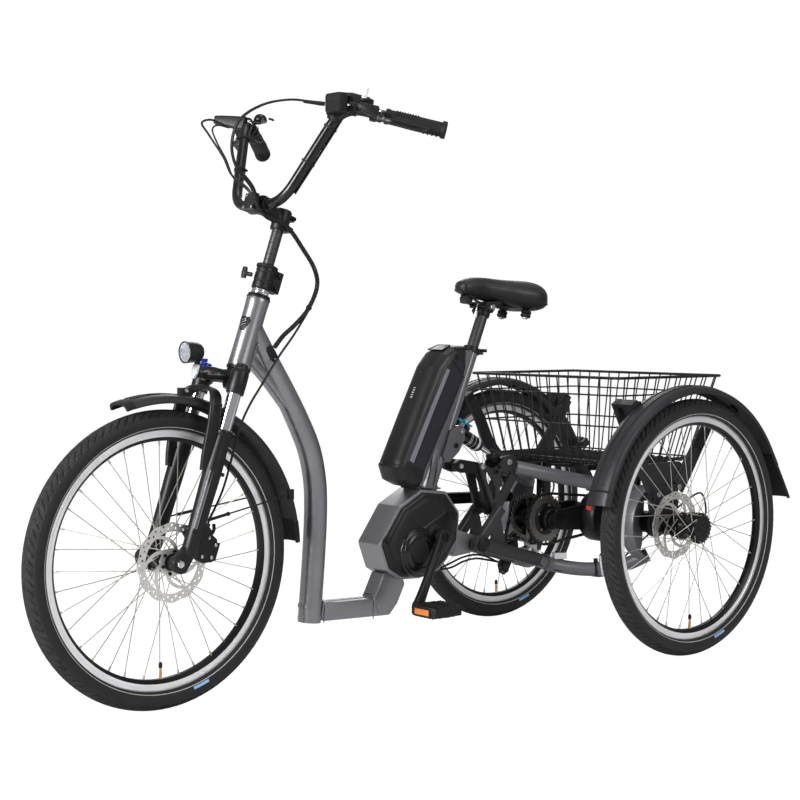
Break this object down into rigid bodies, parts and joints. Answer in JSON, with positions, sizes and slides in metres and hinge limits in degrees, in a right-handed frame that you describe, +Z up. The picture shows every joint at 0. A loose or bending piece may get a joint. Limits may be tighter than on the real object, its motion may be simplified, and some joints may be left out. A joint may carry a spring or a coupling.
{
  "type": "adult cargo tricycle",
  "caption": "Adult cargo tricycle with electric assist: step-through frame, sprung front fork, sprung rear arm with two wheels, fenders and a wire basket.",
  "frame": {"origin": "on the ground, at the bottom centre of the bounding box", "axes": "+Z up, front wheel towards -Y, rider's left towards +X"},
  "size_m": [0.729, 1.8912, 1.2423],
  "materials": {
    "frame_graphite": "satin metallic graphite lacquer",
    "frame_dark": "satin dark grey powder coat",
    "black_metal": "satin black powder coat",
    "motor_shell": "satin silver grey cast shell",
    "black_plastic": "fine grained black",
    "fender_plastic": "satin dark grey",
    "battery_shell": "satin charcoal",
    "grip_rubber": "fine ribbed",
    "tyre_rubber": "road tread",
    "rim_alloy": "brushed, black inside",
    "steel": "brushed",
    "chrome": "polished",
    "chain_steel": "oiled",
    "lens": "clear",
    "saddle_vinyl": "soft black, stitched",
    "basket_wire": "black plastic coated wire",
    "cable_black": "black sleeve",
    "lever_cyan": "anodised"
  },
  "bodies": {
    "frame": {"main_frame_front": "frame_graphite", "main_frame_beam": "frame_graphite", "motor_casing": "motor_shell", "motor_cover": "black_plastic", "seat_tube": "frame_graphite", "cable_loom": "cable_black", "drive_chain": "chain_steel"},
    "steerer": {"fork_crown": "black_metal", "stem_clamp": "black_metal", "headlight": "black_plastic", "headlight_lens": "lens"},
    "stem_lever": {"stem_clamp_lever": "black_metal"},
    "handlebars": {"stem_riser": "black_metal", "handlebar": "black_metal", "left_grip": "grip_rubber", "right_grip": "grip_rubber", "left_brake_perch": "black_metal", "right_brake_perch": "black_metal", "display": "black_plastic", "bell": "steel"},
    "brake_left": {"left_brake_lever": "steel"},
    "brake_right": {"right_brake_lever": "steel"},
    "shifter": {"shift_lever": "black_plastic"},
    "parking_lock": {"parking_lever": "steel"},
    "bell_trigger": {"bell_striker": "steel"},
    "fork_slider": {"fork_lowers": "black_metal", "front_caliper": "black_metal", "front_fender": "fender_plastic"},
    "front_wheel": {"front_tyre": "tyre_rubber", "front_rim": "rim_alloy", "front_hub": "steel", "front_rotor": "steel"},
    "crank": {"crankset": "black_metal", "chainring": "steel"},
    "left_pedal": {"pedal_left": "black_plastic"},
    "right_pedal": {"pedal_right": "black_plastic"},
    "battery_pack": {"battery": "battery_shell"},
    "seat": {"seatpost": "black_metal", "saddle": "saddle_vinyl"},
    "seat_lever": {"seat_clamp_lever": "black_metal"},
    "rear_arm": {"swingarm": "frame_dark", "axle_housing": "black_metal", "rear_fender_left": "fender_plastic", "rear_fender_right": "fender_plastic", "basket": "basket_wire", "derailleur": "chain_steel", "chain_guard": "black_plastic", "axle_chain": "chain_steel"},
    "jack": {"jackshaft": "steel"},
    "wheel_left": {"rear_left_tyre": "tyre_rubber", "rear_left_rim": "rim_alloy", "rear_left_hub": "steel", "rear_left_rotor": "steel"},
    "wheel_right": {"rear_right_tyre": "tyre_rubber", "rear_right_rim": "rim_alloy", "rear_right_hub": "steel", "rear_right_rotor": "steel"},
    "shock_can": {"shock_body": "black_metal"},
    "shock_switch": {"shock_lever": "lever_cyan"},
    "shock_rod": {"shock_shaft": "chrome"}
  },
  "joints": [
    {"name": "steering", "type": "hinge", "parent": "frame", "child": "steerer", "pos_m": [0, -0.45662, 0.678], "axis": [0, 0.3289, 0.9444], "range_deg": [-50, 50], "deforming": ["cable_loom"]},
    {"name": "stem_lever_open", "type": "hinge", "parent": "steerer", "child": "stem_lever", "pos_m": [-0.022, -0.41511, 0.87321], "axis": [0, -0.3289, -0.9444], "range_deg": [0, 90]},
    {"name": "stem_height", "type": "slide", "parent": "steerer", "child": "handlebars", "axis": [0, 0.3289, 0.9444], "range_m": [-0.07, 0.03], "deforming": ["cable_loom"]},
    {"name": "brake_left_pull", "type": "hinge", "parent": "handlebars", "child": "brake_left", "pos_m": [0.24324, -0.2857, 1.18062], "axis": [0.1631, 0.1666, 0.9724], "range_deg": [0, 12], "stiffness_Nm_per_rad": 1.5, "springref_deg": -2.86},
    {"name": "brake_right_pull", "type": "hinge", "parent": "handlebars", "child": "brake_right", "pos_m": [-0.24324, -0.2857, 1.18062], "axis": [0.1631, -0.1666, -0.9724], "range_deg": [0, 12], "stiffness_Nm_per_rad": 1.5, "springref_deg": -2.86},
    {"name": "shift_push", "type": "hinge", "parent": "handlebars", "child": "shifter", "pos_m": [-0.19282, -0.28858, 1.17929], "axis": [0.1631, -0.1666, -0.9724], "range_deg": [0, 20], "stiffness_Nm_per_rad": 0.3},
    {"name": "parking_turn", "type": "hinge", "parent": "handlebars", "child": "parking_lock", "pos_m": [0.21487, -0.30322, 1.21718], "axis": [0.1631, 0.1666, 0.9724], "range_deg": [0, 60]},
    {"name": "bell_ring", "type": "hinge", "parent": "handlebars", "child": "bell_trigger", "pos_m": [-0.14596, -0.27068, 1.21597], "axis": [0.1631, -0.1666, -0.9724], "range_deg": [0, 15], "stiffness_Nm_per_rad": 0.1},
    {"name": "fork_travel", "type": "slide", "parent": "steerer", "child": "fork_slider", "axis": [0, 0.3289, 0.9444], "range_m": [0, 0.04], "stiffness_N_per_m": 15000, "springref_m": -0.03, "deforming": ["cable_loom"]},
    {"name": "front_wheel_spin", "type": "hinge", "parent": "fork_slider", "child": "front_wheel", "pos_m": [0, -0.64562, 0.3], "axis": [1, 0, 0], "continuous": true},
    {"name": "crank_spin", "type": "hinge", "parent": "frame", "child": "crank", "pos_m": [0, 0.04338, 0.2965], "axis": [1, 0, 0], "continuous": true},
    {"name": "left_pedal_spin", "type": "hinge", "parent": "crank", "child": "left_pedal", "pos_m": [0.155, -0.04564, 0.15403], "axis": [1, 0, 0], "continuous": true},
    {"name": "right_pedal_spin", "type": "hinge", "parent": "crank", "child": "right_pedal", "pos_m": [-0.155, 0.13241, 0.43897], "axis": [1, 0, 0], "continuous": true},
    {"name": "battery_tilt", "type": "hinge", "parent": "frame", "child": "battery_pack", "pos_m": [0, 0.02038, 0.44], "axis": [1, 0, 0], "range_deg": [0, 20]},
    {"name": "seat_height", "type": "slide", "parent": "frame", "child": "seat", "axis": [0, 0.3869, 0.9221], "range_m": [-0.05, 0.08]},
    {"name": "seat_lever_open", "type": "hinge", "parent": "frame", "child": "seat_lever", "pos_m": [0.015, 0.22538, 0.709], "axis": [0, 0, -1], "range_deg": [0, 90]},
    {"name": "rear_suspension", "type": "hinge", "parent": "frame", "child": "rear_arm", "pos_m": [0, 0.18538, 0.266], "axis": [1, 0, 0], "range_deg": [0, 10], "stiffness_Nm_per_rad": 900, "springref_deg": -14.32, "deforming": ["drive_chain"]},
    {"name": "jackshaft_spin", "type": "hinge", "parent": "rear_arm", "child": "jack", "pos_m": [0, 0.44538, 0.3], "axis": [1, 0, 0], "continuous": true},
    {"name": "left_wheel_spin", "type": "hinge", "parent": "rear_arm", "child": "wheel_left", "pos_m": [0.3265, 0.59538, 0.3], "axis": [1, 0, 0], "continuous": true},
    {"name": "right_wheel_spin", "type": "hinge", "parent": "rear_arm", "child": "wheel_right", "pos_m": [-0.3265, 0.59538, 0.3], "axis": [1, 0, 0], "continuous": true},
    {"name": "shock_swing", "type": "hinge", "parent": "frame", "child": "shock_can", "pos_m": [0, 0.14738, 0.527], "axis": [1, 0, 0], "range_deg": [-0.8, 0]},
    {"name": "shock_lever_turn", "type": "hinge", "parent": "shock_can", "child": "shock_switch", "pos_m": [0, 0.18709, 0.53735], "axis": [0, 0.4759, 0.8795], "range_deg": [-60, 0]},
    {"name": "shock_stroke", "type": "slide", "parent": "shock_can", "child": "shock_rod", "axis": [0, -0.8795, 0.4759], "range_m": [0, 0.037]}
  ],
  "couplings": [
    {"joint": "shock_swing", "follows": "rear_suspension", "ratio": -0.078},
    {"joint": "shock_stroke", "follows": "rear_suspension", "m_per_rad": 0.2111}
  ]
}
